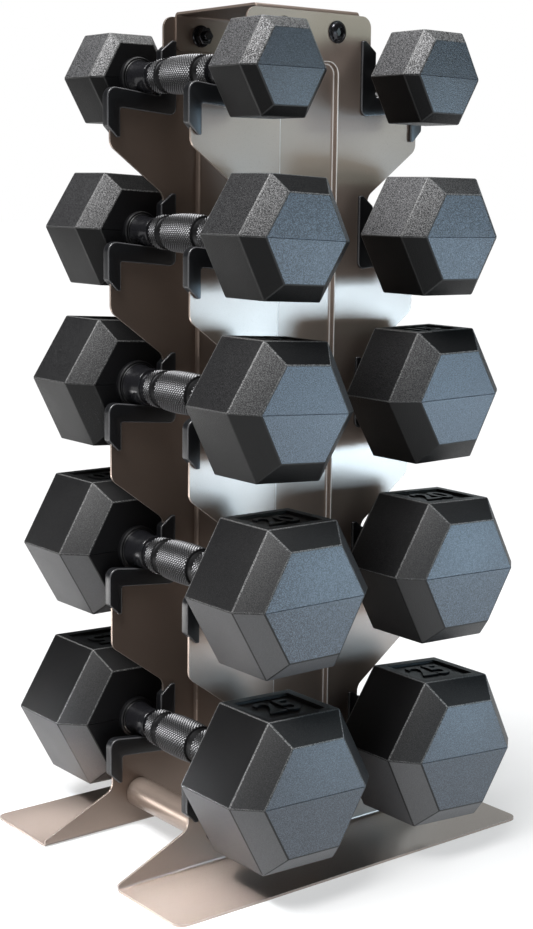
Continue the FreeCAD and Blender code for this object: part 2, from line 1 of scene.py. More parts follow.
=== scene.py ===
import math

import bmesh
import bpy
from mathutils import Matrix, Vector
from mathutils.geometry import delaunay_2d_cdt


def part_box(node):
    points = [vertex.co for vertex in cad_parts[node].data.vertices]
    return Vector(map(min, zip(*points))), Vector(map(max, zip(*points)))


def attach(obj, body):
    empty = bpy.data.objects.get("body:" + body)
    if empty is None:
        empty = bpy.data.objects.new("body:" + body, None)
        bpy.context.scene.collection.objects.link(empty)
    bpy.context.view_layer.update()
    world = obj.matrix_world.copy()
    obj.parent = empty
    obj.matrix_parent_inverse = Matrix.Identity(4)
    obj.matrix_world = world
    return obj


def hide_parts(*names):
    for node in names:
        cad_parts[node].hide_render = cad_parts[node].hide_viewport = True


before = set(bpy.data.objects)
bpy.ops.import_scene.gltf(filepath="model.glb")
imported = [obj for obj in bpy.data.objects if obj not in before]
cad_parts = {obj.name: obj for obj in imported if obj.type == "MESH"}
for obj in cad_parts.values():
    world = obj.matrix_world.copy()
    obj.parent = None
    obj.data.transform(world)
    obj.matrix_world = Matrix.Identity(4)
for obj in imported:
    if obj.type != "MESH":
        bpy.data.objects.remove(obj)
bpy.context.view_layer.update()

# A five-tier dumbbell rack with its ten hexagonal dumbbells. Lengths of the object are in
# millimetres until its mesh is finished in metres; the lights and the camera are in metres.

MM = 0.001
RACK_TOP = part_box("top_bracket")[1].z

TIERS = (1, 2, 3, 4, 5)
WEIGHTS = {1: "05", 2: "10", 3: "15", 4: "20", 5: "25"}
SIDES = {"left": -1, "right": 1}

# Sheet metal
SHEET = 2.0
HALF_DEPTH = 56.25
HEIGHT = 680.0
WAIST = 63.0
ARM = 115.0
FOOT_HALF = 182.0
FOOT_DEPTH = 81.5
BEND = 2.0
FLARE_TOP = 35.5
FLARE_END = 6.0
TOP_CORNER = 9
NOTCH_CORNER = 4
ARM_CORNER = 10
CUT_EDGE = 0.45  # rounding of the cut edges
PANEL = {"half": 28.4, "top": 642.0, "bottom": 60.0, "depth": 4.0, "corner": 9.0, "wall": 1.8}
BRACKET = {"half": 52.0, "top": 683.5, "low": 653.5, "corner": 6.0}
BOLTS = ((27.0, 666.0), (88.7, 28.5))  # bracket bolts, then tube bolts, as x and z
HOLE = 4.2

# Fasteners
SHANK = 4.0
FLANGE = 8.8
DOME = {"radius": 7.3, "base": 1.5, "rise": 3.1}
SOCKET = {"corner": 3.9, "depth": 1.9}
NUT = {"corner": 7.5, "bore": 4.1, "foot": 1.6, "top": 7.5}

# Plastic liners: wall over the arm's edge, and half of the width over the sheet
LINER_WALL = 4.0
LINER_HALF = 3.8

# Per tier: top of the liner and lowest corner of the arm
LINER_TOP = {1: 623.0, 2: 500.5, 3: 369.0, 4: 230.0, 5: 81.5}
ARM_LOW = {1: 576.0, 2: 443.0, 3: 304.0, 4: 161.0}
SADDLE_FALL = 6.4
ARM_FALL = 38.0

# Per tier: size across flats, end face across flats, inner face, the two ends of
# the full section, outer face, radii of grip and neck
HEADS = {
    1: (71.0, 55.5, 72.0, 81.0, 118.5, 127.5, 15.0, 12.0),
    2: (92.0, 66.0, 71.0, 86.0, 132.5, 146.0, 15.5, 11.5),
    3: (105.5, 72.5, 70.0, 85.0, 136.0, 152.5, 17.0, 15.5),
    4: (114.5, 84.0, 72.0, 90.0, 148.5, 165.0, 17.0, 14.5),
    5: (120.5, 86.5, 74.0, 91.0, 152.5, 170.5, 17.0, 12.5),
}
ROLL = {"left": (0.0, 3.0, 3.3, 0.0, 1.8), "right": (0.9, 0.7, -0.8, 1.8, 4.0)}  # degrees, per tier
HEAD_EDGE = 0.8
PLAQUE = {"wall": 0.7, "depth": 1.9, "raise": 0.6}
PLAQUE_SHARE = {"margin": 0.058, "numeral": 0.3}  # of the head's size across flats
SEAM = {"half": 0.32, "depth": 0.45}
KNURL_CUT = {"count": 32, "pitch": 2.9, "depth": 0.42}


# ---------------------------------------------------------------- mesh helpers

def link(name, mesh):
    """A new object in the scene."""
    obj = bpy.data.objects.new(name, mesh)
    bpy.context.scene.collection.objects.link(obj)
    return obj


def finish_mesh(bm, name, sharp=35.0):
    """Turn a bmesh in millimetres into a mesh in metres, smooth but for its sharp edges."""
    bmesh.ops.scale(bm, vec=(MM, MM, MM), verts=bm.verts)
    bmesh.ops.recalc_face_normals(bm, faces=bm.faces)
    mesh = bpy.data.meshes.new(name)
    bm.to_mesh(mesh)
    bm.free()
    mesh.polygons.foreach_set("use_smooth", [True] * len(mesh.polygons))
    mesh.set_sharp_from_angle(angle=math.radians(sharp))
    return mesh


def evaluated(obj):
    """The object's mesh with its modifiers applied; the object itself is removed."""
    graph = bpy.context.evaluated_depsgraph_get()
    mesh = bpy.data.meshes.new_from_object(obj.evaluated_get(graph), depsgraph=graph)
    bpy.data.objects.remove(obj)
    return mesh


def round_off(corners, step=9.0):
    """A closed outline from (x, z, radius) corners, with an arc in place of each rounded corner."""
    outline = []
    count = len(corners)
    for index, (x, z, radius) in enumerate(corners):
        here = Vector((x, z))
        before = Vector(corners[index - 1][:2])
        after = Vector(corners[(index + 1) % count][:2])
        if radius == 0:
            outline.append(here)
            continue
        into, out = (before - here).normalized(), (after - here).normalized()
        half = into.angle(out) / 2
        reach = radius / math.tan(half)
        centre = here + (into + out).normalized() * (radius / math.sin(half))
        start, end = here + into * reach - centre, here + out * reach - centre
        sweep = math.atan2(start.x * end.y - start.y * end.x, start.dot(end))
        parts = max(2, round(abs(math.degrees(sweep)) / step))
        for part in range(parts + 1):
            turn = sweep * part / parts
            outline.append(centre + Vector((
                start.x * math.cos(turn) - start.y * math.sin(turn),
                start.x * math.sin(turn) + start.y * math.cos(turn),
            )))
    return outline


def circle(radius, count, x=0.0, z=0.0):
    """Points of a circle about (x, z), anticlockwise from the first axis."""
    turns = [math.pi * index / (count / 2) for index in range(count)]
    return [Vector((x + radius * math.cos(a), z + radius * math.sin(a))) for a in turns]


def raise_ring(bm, points, y):
    """Vertices over (x, z) points, all at the same y."""
    return [bm.verts.new((p.x, y, p.y)) for p in points]


def skin(bm, low, high):
    """Quads between two rings of as many vertices."""
    count = len(low)
    for index in range(count):
        following = (index + 1) % count
        bm.faces.new((low[index], high[index], high[following], low[following]))


def prism(bm, outline, low, high):
    """A closed prism over an (x, z) outline from y = low to y = high."""
    rings = [raise_ring(bm, outline, y) for y in (low, high)]
    bm.faces.new(rings[0])
    bm.faces.new(reversed(rings[1]))
    skin(bm, *rings)


def ring_solid(bm, profile, segments):
    """A closed ring turned about Y from a closed loop of (radius, y) points."""
    rings = [raise_ring(bm, circle(radius, segments), y) for radius, y in profile]
    for position, low in enumerate(rings):
        skin(bm, low, rings[(position + 1) % len(rings)])


def sheet_mesh(bm, name, face, outwards):
    """A smooth open mesh in metres, turned so that the face looks outwards."""
    if face.normal.dot(Vector(outwards)) < 0:
        bmesh.ops.reverse_faces(bm, faces=bm.faces)
    bmesh.ops.scale(bm, vec=(MM, MM, MM), verts=bm.verts)
    mesh = bpy.data.meshes.new(name)
    bm.to_mesh(mesh)
    bm.free()
    mesh.polygons.foreach_set("use_smooth", [True] * len(mesh.polygons))
    return mesh


def thicken(obj, inner_slot):
    """Give an open sheet its thickness inwards, with its inner face in another material slot."""
    thick = obj.modifiers.new("sheet", "SOLIDIFY")
    thick.thickness = SHEET * MM
    thick.offset = -1
    thick.use_even_offset = True
    thick.material_offset = inner_slot


def soften(obj, width, segments, angle):
    """Round the edges that are sharper than the angle in degrees."""
    bevel = obj.modifiers.new("edges", "BEVEL")
    bevel.width = width * MM
    bevel.segments = segments
    bevel.limit_method = "ANGLE"
    bevel.angle_limit = math.radians(angle)
    return bevel


def soften_sheet(obj):
    """Round the cut edges of a sheet and keep its flats flat-shaded."""
    bevel = soften(obj, CUT_EDGE, 2, 38.0)
    bevel.harden_normals = True
    return bevel


# ---------------------------------------------------------------- materials

def new_material(name):
    """A material with its node tree and its shader."""
    material = bpy.data.materials.new(name)
    material.use_nodes = True
    tree = material.node_tree
    shader = tree.nodes["Principled BSDF"]
    return material, tree, shader


def noise(tree, scale, detail=2.0, roughness=0.5):
    """Noise in object coordinates; the scale is per metre."""
    place = tree.nodes.new("ShaderNodeTexCoord")
    node = tree.nodes.new("ShaderNodeTexNoise")
    node.inputs["Scale"].default_value = scale
    node.inputs["Detail"].default_value = detail
    node.inputs["Roughness"].default_value = roughness
    tree.links.new(place.outputs["Object"], node.inputs["Vector"])
    return node


def ramp(tree, source, stops):
    """A colour between two (position, colour) stops."""
    node = tree.nodes.new("ShaderNodeValToRGB")
    elements = node.color_ramp.elements
    for element, (position, colour) in zip(elements, stops):
        element.position = position
        element.color = (*colour, 1.0)
    tree.links.new(source, node.inputs["Fac"])
    return node


def spread(tree, source, low, high, start=0.25, end=0.75):
    """Map a factor from start..end to low..high."""
    node = tree.nodes.new("ShaderNodeMapRange")
    node.inputs["From Min"].default_value = start
    node.inputs["From Max"].default_value = end
    node.inputs["To Min"].default_value = low
    node.inputs["To Max"].default_value = high
    tree.links.new(source, node.inputs["Value"])
    return node


def bump(tree, shader, source, distance, strength=1.0):
    """Fine relief of the given depth in metres."""
    node = tree.nodes.new("ShaderNodeBump")
    node.inputs["Distance"].default_value = distance
    node.inputs["Strength"].default_value = strength
    tree.links.new(source, node.inputs["Height"])
    tree.links.new(node.outputs["Normal"], shader.inputs["Normal"])


def facing_up(tree):
    """A factor that grows from undersides to upper faces; it paints light onto the faces that look upwards.
    """
    place = tree.nodes.new("ShaderNodeTexCoord")
    split = tree.nodes.new("ShaderNodeSeparateXYZ")
    factor = tree.nodes.new("ShaderNodeMapRange")
    factor.inputs["From Min"].default_value = -0.05
    factor.inputs["From Max"].default_value = 0.4
    factor.inputs["To Min"].default_value = 0.03
    tree.links.new(place.outputs["Normal"], split.inputs["Vector"])
    tree.links.new(split.outputs["Z"], factor.inputs["Value"])
    return factor.outputs["Result"]


def rubber(name, dark, light, grain_scale, relief, rough, shine, upper=True):
    """Moulded black rubber with a pebbled grain; when upper is set, its upper faces are lightened as
    painted light.
    """
    material, tree, shader = new_material(name)
    grain = noise(tree, grain_scale, 1.5, 0.6)
    patches = noise(tree, 22.0, 3.0)
    amount = spread(tree, grain.outputs["Fac"], 0.04, 0.84, 0.40, 0.67).outputs["Result"]
    # Painted light: the grain's light tops fade out on faces that look down.
    if upper:
        product = tree.nodes.new("ShaderNodeMath")
        product.operation = "MULTIPLY"
        tree.links.new(amount, product.inputs[0])
        tree.links.new(facing_up(tree), product.inputs[1])
        amount = product.outputs["Value"]
    tint = ramp(tree, amount, [(0.0, dark), (1.0, light)])
    tree.links.new(tint.outputs["Color"], shader.inputs["Base Color"])
    gloss = spread(tree, patches.outputs["Fac"], rough - 0.04, rough + 0.04)
    tree.links.new(gloss.outputs["Result"], shader.inputs["Roughness"])
    shader.inputs["Specular IOR Level"].default_value = shine
    bump(tree, shader, grain.outputs["Fac"], relief)
    return material


# Per tier: grain scale, relief in metres, specular level, then how light the grain's tops are on the
# flanks, the end bevels, the bevel over the face, the end face and the undersides, as painted light and
# shade
RUBBER_LOOKS = {
    1: dict(scale=1300.0, relief=0.00030, shine=0.12,
            flank=0.190, ends=0.50, brow=0.230, face=0.062, under=0.003),
    2: dict(scale=1400.0, relief=0.00030, shine=0.16,
            flank=0.080, ends=0.27, brow=0.034, face=0.115, under=0.003),
    3: dict(scale=1450.0, relief=0.00028, shine=0.28,
            flank=0.038, ends=0.120, brow=0.012, face=0.140, under=0.004),
    4: dict(scale=1500.0, relief=0.00020, shine=0.48,
            flank=0.020, ends=0.052, brow=0.018, face=0.100, under=0.085),
    5: dict(scale=1500.0, relief=0.00015, shine=0.42,
            flank=0.006, ends=0.030, brow=0.024, face=0.076, under=0.100),
}
# Dumbbells whose rubber differs from their twin's: one lighter on its flanks and top bevel, one darker
# underneath
SIDE_LOOKS = {
    (2, "right"): dict(flank=0.240, brow=0.110),
    (4, "right"): dict(under=0.020),
}


def rubber_set(tier, side):
    """A head's materials in slot order; the heavier the head, the smoother and glossier its rubber."""
    look = dict(RUBBER_LOOKS[tier], **SIDE_LOOKS.get((tier, side), {}))
    scale, relief, shine = look["scale"], look["relief"], look["shine"]
    flank, ends, brow = look["flank"], look["ends"], look["brow"]
    face, under = look["face"], look["under"]
    # Every slot is the same rubber with its own painted light or shade, by the way its faces look.
    deep, dull = (0.003, 0.003, 0.0035), (under * 0.7, under * 0.7, under * 0.72)
    # A bluish painted light on the end faces.
    painted_blue_light = (face, face * 1.27, face * 1.66)
    # A painted highlight along the upper bevelled edges.
    edge_highlight = (0.26, 0.26, 0.26)

    def part(kind, dark, light, bumps, rough, gloss, upper=True):
        name = f"rubber_{kind}{WEIGHTS[tier]}_{side}"
        return rubber(name, dark, light, scale, bumps, rough, gloss, upper)

    return (
        # Flanks, end bevels and top bevel: painted light from above, by tier.
        part("", deep, (flank, flank, flank * 1.03), relief, 0.46, shine / 2),
        part("ends_", deep, (ends, ends * 0.99, ends), relief, 0.50, shine),
        part("edges_", (0.008, 0.008, 0.008), edge_highlight, relief / 2, 0.42, 0.3),
        part("face_", (0.004, 0.006, 0.010), painted_blue_light, relief, 0.44, 0.8, upper=False),
        # Hub side and boss: painted shade.
        part("hub_", deep, (0.006, 0.006, 0.007), relief / 5, 0.42, 0.3, upper=False),
        part("brow_", deep, (brow, brow, brow), relief, 0.50, shine),
        # Undersides: painted floor light on the two lowest tiers, painted shade above them.
        part("under_", dull, (under, under, under * 1.05), relief, 0.46, shine, upper=False),
    )


def paint(name, dim, lit, metallic, rough):
    """Warm grey metallic powder coat."""
    material, tree, shader = new_material(name)
    flake = noise(tree, 2600.0, 1.0)
    cloud = noise(tree, 9.0, 2.0)
    tint = ramp(tree, cloud.outputs["Fac"], [(0.25, dim), (0.75, lit)])
    tree.links.new(tint.outputs["Color"], shader.inputs["Base Color"])
    shader.inputs["Metallic"].default_value = metallic
    gloss = spread(tree, flake.outputs["Fac"], rough - 0.04, rough + 0.04)
    tree.links.new(gloss.outputs["Result"], shader.inputs["Roughness"])
    bump(tree, shader, flake.outputs["Fac"], 0.00004, 0.6)
    return material


def plastic(name, dim, lit, rough):
    """Satin black moulded plastic."""
    material, tree, shader = new_material(name)
    grain = noise(tree, 1800.0, 1.5)
    tint = ramp(tree, grain.outputs["Fac"], [(0.3, dim), (0.7, lit)])
    tree.links.new(tint.outputs["Color"], shader.inputs["Base Color"])
    gloss = spread(tree, grain.outputs["Fac"], rough - 0.05, rough + 0.05)
    tree.links.new(gloss.outputs["Result"], shader.inputs["Roughness"])
    bump(tree, shader, grain.outputs["Fac"], 0.00008, 0.5)
    return material


def dark_steel(name, colour, roughness, metallic=1.0):
    """Blackened or dark plated steel, with fine turning marks."""
    material, tree, shader = new_material(name)
    marks = noise(tree, 900.0, 2.0)
    dim = tuple(channel * 0.8 for channel in colour)
    tint = ramp(tree, marks.outputs["Fac"], [(0.3, dim), (0.7, colour)])
    tree.links.new(tint.outputs["Color"], shader.inputs["Base Color"])
    shader.inputs["Metallic"].default_value = metallic
    rough = spread(tree, marks.outputs["Fac"], roughness - 0.04, roughness + 0.05)
    tree.links.new(rough.outputs["Result"], shader.inputs["Roughness"])
    bump(tree, shader, marks.outputs["Fac"], 0.00003, 0.4)
    return material


def knurled_steel():
    """Dark plated steel with painted highlight on its diamond tips and painted shade in its valleys."""
    material, tree, shader = new_material("dark_knurled_steel")
    relief = tree.nodes.new("ShaderNodeAttribute")
    relief.attribute_name = "relief"
    # Painted shade in the valleys and painted highlight on the tips.
    valley, tip = (0.003, 0.003, 0.0035), (0.17, 0.17, 0.175)
    tint = ramp(tree, relief.outputs["Fac"], [(0.0, valley), (1.0, tip)])
    tree.links.new(tint.outputs["Color"], shader.inputs["Base Color"])
    shader.inputs["Metallic"].default_value = 0.9
    rough = spread(tree, relief.outputs["Fac"], 0.5, 0.32, 0.0, 1.0)
    tree.links.new(rough.outputs["Result"], shader.inputs["Roughness"])
    return material


RUBBER = {(tier, side): rubber_set(tier, side) for tier in TIERS for side in SIDES}
PAINT = paint("metallic_paint", (0.325, 0.258, 0.217), (0.36, 0.284, 0.24), 0.68, 0.31)
# A darker copy of the paint: painted shade on the inner faces of the plates and bracket.
PAINT_SHADE = paint("metallic_paint_shade", (0.20, 0.154, 0.126), (0.225, 0.174, 0.144), 0.68, 0.34)
# A light, matt copy of the paint: painted highlight on the plates' cut edges and the panel's folds.
PAINT_HIGHLIGHT = paint("metallic_paint_highlight", (0.72, 0.68, 0.64), (0.80, 0.76, 0.72), 0.1, 0.42)
PLASTIC = plastic("black_plastic", (0.003, 0.0032, 0.004), (0.008, 0.0085, 0.010), 0.36)
# A lighter copy of the plastic: painted highlight on the liners' rounded edges.
PLASTIC_HIGHLIGHT = plastic("black_plastic_highlight", (0.05, 0.05, 0.052), (0.09, 0.09, 0.095), 0.22)
KNURL = knurled_steel()
COLLAR = dark_steel("black_chrome", (0.012, 0.012, 0.014), 0.19, 0.2)
FASTENER = dark_steel("black_oxide_fastener", (0.05, 0.05, 0.055), 0.18, 0.85)
IRON = dark_steel("cast_iron", (0.12, 0.115, 0.11), 0.6)
STEEL = dark_steel("bare_steel", (0.45, 0.45, 0.46), 0.35)


def dress(obj, *materials, slot=None):
    """Fill the object's material slots in order; its faces keep the slots they were given."""
    for index, material in enumerate(materials):
        if index < len(obj.data.materials):
            obj.data.materials[index] = material
        else:
            obj.data.materials.append(material)
    return obj


# ---------------------------------------------------------------- rack

SHEET_FACE, SHEET_HIGHLIGHT, SHEET_SHADE = range(3)  # a plate's material slots: plain paint, painted highlight on cut edges and folds, painted shade on the inner face


def panel_distance(x, z):
    """How far a point of the plate lies outside the middle line of the pressed panel's wall."""
    half_height = (PANEL["top"] - PANEL["bottom"]) / 2
    middle = (PANEL["top"] + PANEL["bottom"]) / 2
    corner = PANEL["corner"]
    across = abs(x) - (PANEL["half"] - corner)
    along = abs(z - middle) - (half_height - corner)
    return math.hypot(max(across, 0), max(along, 0)) + min(max(across, along), 0) - corner


def panel_offset(x, z):
    """How far the pressed panel pushes a point of the plate inwards."""
    share = min(max(0.5 - panel_distance(x, z) / PANEL["wall"], 0), 1)
    return PANEL["depth"] * share * share * (3 - 2 * share)


def panel_loop(grow):
    """The pressed panel's outline, moved outwards."""
    half, corner = PANEL["half"] + grow, PANEL["corner"] + grow
    top, bottom = PANEL["top"] + grow, PANEL["bottom"] - grow
    spots = ((-half, bottom), (half, bottom), (half, top), (-half, top))
    return round_off([(x, z, corner) for x, z in spots])


def bend(x, s):
    """Place a point of the flat pattern: upright above the bend, then on the foot."""
    start = SHEET + BEND
    down = start - s
    if down <= 0:
        return Vector((x, -HALF_DEPTH + panel_offset(x, s), s))
    if down < BEND * math.pi / 2:
        turn = down / BEND
        return Vector((x, -HALF_DEPTH - BEND * (1 - math.cos(turn)), start - BEND * math.sin(turn)))
    return Vector((x, -HALF_DEPTH - BEND - (down - BEND * math.pi / 2), SHEET))


def plate_outline():
    """The right half of the flat pattern, from the top down to the foot, then mirrored."""
    half = [(WAIST, HEIGHT, TOP_CORNER)]
    for tier in TIERS:
        arm_top = LINER_TOP[tier] - LINER_WALL
        half.append((WAIST, arm_top - SADDLE_FALL, NOTCH_CORNER))
        half.append((ARM, arm_top, NOTCH_CORNER))
        if tier in ARM_LOW:
            half.append((ARM, ARM_LOW[tier], ARM_CORNER))
            half.append((WAIST, ARM_LOW[tier] - ARM_FALL, ARM_CORNER))
    edge = SHEET + BEND - BEND * math.pi / 2 - (FOOT_DEPTH - BEND)
    half += [(ARM, FLARE_TOP, ARM_CORNER), (FOOT_HALF, FLARE_END, 0), (FOOT_HALF, edge, TOP_CORNER)]
    return round_off(half + [(-x, z, radius) for x, z, radius in reversed(half)])


def plate_mesh():
    """One plate as an open sheet: the flat pattern is cut into faces, then bent and pressed."""
    margin = 0.4  # a narrow strip beside each fold keeps the flats flat
    loops = [plate_outline()]
    wall = PANEL["wall"] / 2
    shares = [wall + margin] + [wall * (1 - step / 5) for step in range(11)] + [-wall - margin]
    loops += [panel_loop(grow) for grow in shares]
    holes = [(sign * x, z) for x, z in BOLTS for sign in (-1, 1)]
    loops += [circle(HOLE, 24, x, z) for x, z in holes]
    points, edges = [], []
    for loop in loops:
        first = len(points)
        points += loop
        edges += [(first + i, first + (i + 1) % len(loop)) for i in range(len(loop))]
    start, arc = SHEET + BEND, BEND * math.pi / 2
    for line in [margin] + [-arc * step / 6 for step in range(7)] + [-arc - margin]:
        edges.append((len(points), len(points) + 1))
        points += [Vector((-FOOT_HALF, start + line)), Vector((FOOT_HALF, start + line))]
    flat, _, faces, *_ = delaunay_2d_cdt(points, edges, [], 1, 1e-4)
    bm = bmesh.new()
    verts = [bm.verts.new(bend(p.x, p.y)) for p in flat]
    for face in faces:
        middle = sum((flat[i] for i in face), Vector((0, 0))) / len(face)
        if all((middle - Vector(hole)).length > HOLE * 0.98 for hole in holes):
            piece = bm.faces.new([verts[i] for i in face])
            off_fold = abs(abs(panel_distance(*middle)) - wall)
            # Faces beside the panel's folds get the painted highlight.
            piece.material_index = SHEET_HIGHLIGHT if off_fold < margin + 0.01 else SHEET_FACE
    loose = [v for v in bm.verts if not v.link_faces]
    bmesh.ops.delete(bm, geom=loose, context="VERTS")
    bmesh.ops.recalc_face_normals(bm, faces=bm.faces)
    front = max(bm.faces, key=lambda f: f.calc_area())
    return sheet_mesh(bm, "plate", front, (0, -1, 0))


def make_plates():
    """The front plate and its twin, turned round."""
    mesh = plate_mesh()
    for name, turn in (("front_plate", 0), ("back_plate", math.pi)):
        obj = link("painted_" + name, mesh.copy())
        obj.data.transform(Matrix.Rotation(turn, 4, "Z"))
        # The inner face gets the painted shade.
        thicken(obj, SHEET_SHADE)
        # The rounded cut edges get the painted highlight.
        soften_sheet(obj).material = SHEET_HIGHLIGHT
        dress(obj, PAINT, PAINT_HIGHLIGHT, PAINT_SHADE, slot="rack_paint")
        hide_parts(name)
        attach(obj, "rack")


def make_bracket():
    """The inverted channel between the plates, with rounded bends and flange corners."""
    outer, bend_outer = HALF_DEPTH - SHEET, BEND + SHEET
    half, top, low, corner = (BRACKET[key] for key in ("half", "top", "low", "corner"))
    path = round_off([
        (-outer, low, 0), (-outer, top, bend_outer), (outer, top, bend_outer), (outer, low, 0),
    ], 15.0)
    bm = bmesh.new()
    turns = [math.radians(a) for a in (15, 30, 45, 60, 75, 90)]
    columns = [-half] + [-half + corner * (1 - math.cos(a)) for a in turns]
    columns += [-x for x in reversed(columns)]

    def lift(x):
        """How far the rounded corner raises the flange's lower edge."""
        into = max(0.0, corner - (half - abs(x)))
        return corner - math.sqrt(max(corner * corner - into * into, 0))

    grid = []
    for x in columns:
        row = []
        for index, p in enumerate(path):
            z = p.y + lift(x) if index in (0, len(path) - 1) else p.y
            row.append(bm.verts.new((x, p.x, z)))
        grid.append(row)
    for first, second in zip(grid, grid[1:]):
        for index in range(len(path) - 1):
            bm.faces.new((first[index], first[index + 1], second[index + 1], second[index]))
    bmesh.ops.recalc_face_normals(bm, faces=bm.faces)
    top_face = max(bm.faces, key=lambda f: f.calc_center_median().z)
    obj = link("painted_top_bracket", sheet_mesh(bm, "bracket", top_face, (0, 0, 1)))
    # The channel's inner face gets the painted shade.
    inner_slot = 1
    thicken(obj, inner_slot)
    soften_sheet(obj)
    dress(obj, PAINT, PAINT_SHADE, slot="rack_paint")
    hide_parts("top_bracket")
    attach(obj, "rack")


def make_tubes():
    """The two cross tubes, with their wall and rounded ends."""
    wall, edge = 1.5, 0.5
    for side in SIDES:
        low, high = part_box("bottom_tube_" + side)
        middle = (low + high) / 2
        radius = (high.x - low.x) / 2 / MM
        half = (high.y - low.y) / 2 / MM
        bm = bmesh.new()
        ring_solid(bm, [
            (radius - edge, -half), (radius, -half + edge), (radius, half - edge), (radius - edge, half),
            (radius - wall, half), (radius - wall, -half),
        ], 72)
        obj = link("painted_tube_" + side, finish_mesh(bm, "tube"))
        obj.location = middle
        dress(obj, PAINT, slot="rack_paint")
        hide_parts("bottom_tube_" + side)
        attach(obj, "rack")


def bolt_mesh():
    """A flanged button head with a hexagon socket and a plain shank; its head rises along +Y."""
    bm = bmesh.new()
    base, rise = DOME["base"], DOME["rise"]
    turns = [math.radians(a) for a in (8, 22, 36, 50, 58)]
    profile = [(SHANK - 0.6, -15.0), (SHANK, -14.4), (SHANK, 0.0)]
    profile += [(FLANGE, 0.0), (FLANGE, 0.9), (8.3, 1.4), (7.6, base)]
    profile += [(DOME["radius"] * math.cos(a), base + rise * math.sin(a)) for a in turns]
    segments = 48
    rings = [raise_ring(bm, circle(radius, segments), y) for radius, y in profile]
    level = profile[-1][1]
    inscribed = SOCKET["corner"] * math.cos(math.pi / 6)
    for y in (level + 0.05, level - SOCKET["depth"]):
        ring = []
        for index in range(segments):
            a = 2 * math.pi * index / segments
            to_flat = (a % (math.pi / 3)) - math.pi / 6
            radius = inscribed / math.cos(to_flat)
            ring.append(bm.verts.new((radius * math.cos(a), y, radius * math.sin(a))))
        rings.append(ring)
    for low, high in zip(rings, rings[1:]):
        skin(bm, low, high)
    bm.faces.new(rings[0])
    bm.faces.new(reversed(rings[-1]))
    return finish_mesh(bm, "bolt", 30.0)


def nut_mesh():
    """A flanged hexagon nut about Y, standing on y = 0."""
    bm = bmesh.new()
    ring_solid(bm, [(SHANK, 0.0), (FLANGE, 0.0), (8.9, 0.8), (8.5, 1.5), (7.0, 2.0), (SHANK, 2.0)], 48)
    outline = circle(NUT["corner"], 6)
    foot, top = NUT["foot"], NUT["top"]
    chamfered = [p * 0.93 for p in outline]
    rings = [raise_ring(bm, *level) for level in ((outline, foot), (outline, top - 0.6), (chamfered, top))]
    for low, high in zip(rings, rings[1:]):
        skin(bm, low, high)
    bores = []
    for y, ring in ((foot, rings[0]), (top, rings[-1])):
        bore = raise_ring(bm, circle(NUT["bore"], 24), y)
        bores.append(bore)
        for corner in range(6):
            first = corner * 4
            loop = [ring[corner], ring[(corner + 1) % 6]]
            loop += [bore[(first + step) % 24] for step in (4, 3, 2, 1, 0)]
            bm.faces.new(loop)
    for index in range(24):
        following = (index + 1) % 24
        bm.faces.new((bores[0][index], bores[0][following], bores[1][following], bores[1][index]))
    return finish_mesh(bm, "nut", 30.0)


def gather(name, mesh, places):
    """One piece made of several copies of a mesh."""
    bm = bmesh.new()
    for place in places:
        copy = mesh.copy()
        copy.transform(place)
        bm.from_mesh(copy)
        bpy.data.meshes.remove(copy)
    joined = bpy.data.meshes.new(name)
    bm.to_mesh(joined)
    bm.free()
    return link(name, joined)


def fastener_places(x, depth, z, turn_across, turn_facing, inwards=False):
    """Where the four fasteners of a set go, no two of them tightened to the same angle."""
    half_turn = {-1: Matrix.Rotation(math.pi, 4, "Z"), 1: Matrix.Identity(4)}
    places = []
    for facing in (-1, 1):
        for across in (-x, x):
            angle = math.radians(turn_across * across + turn_facing * facing)
            spot = Matrix.Translation(Vector((across, facing * depth, z)) * MM)
            way = half_turn[-facing if inwards else facing]
            places.append(spot @ way @ Matrix.Rotation(angle, 4, "Y"))
    return places


def fasten(node, name, mesh, places):
    """One piece for the four fasteners of a node."""
    obj = dress(gather(name, mesh, places), FASTENER, slot="fastener")
    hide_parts(node)
    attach(obj, "rack")


def make_fasteners():
    """Screws from outside through both plates, and the bracket's nuts inside it."""
    bolt, nut = bolt_mesh(), nut_mesh()
    for node, (x, z) in zip(("bracket_bolts", "tube_bolts"), BOLTS):
        fasten(node, "button_" + node, bolt, fastener_places(x, HALF_DEPTH, z, 17, 40))
    x, z = BOLTS[0]
    inside = HALF_DEPTH - 2 * SHEET
    fasten("bracket_nuts", "flange_nuts", nut, fastener_places(x, inside, z, 11, 0, inwards=True))


# ---------------------------------------------------------------- cradles

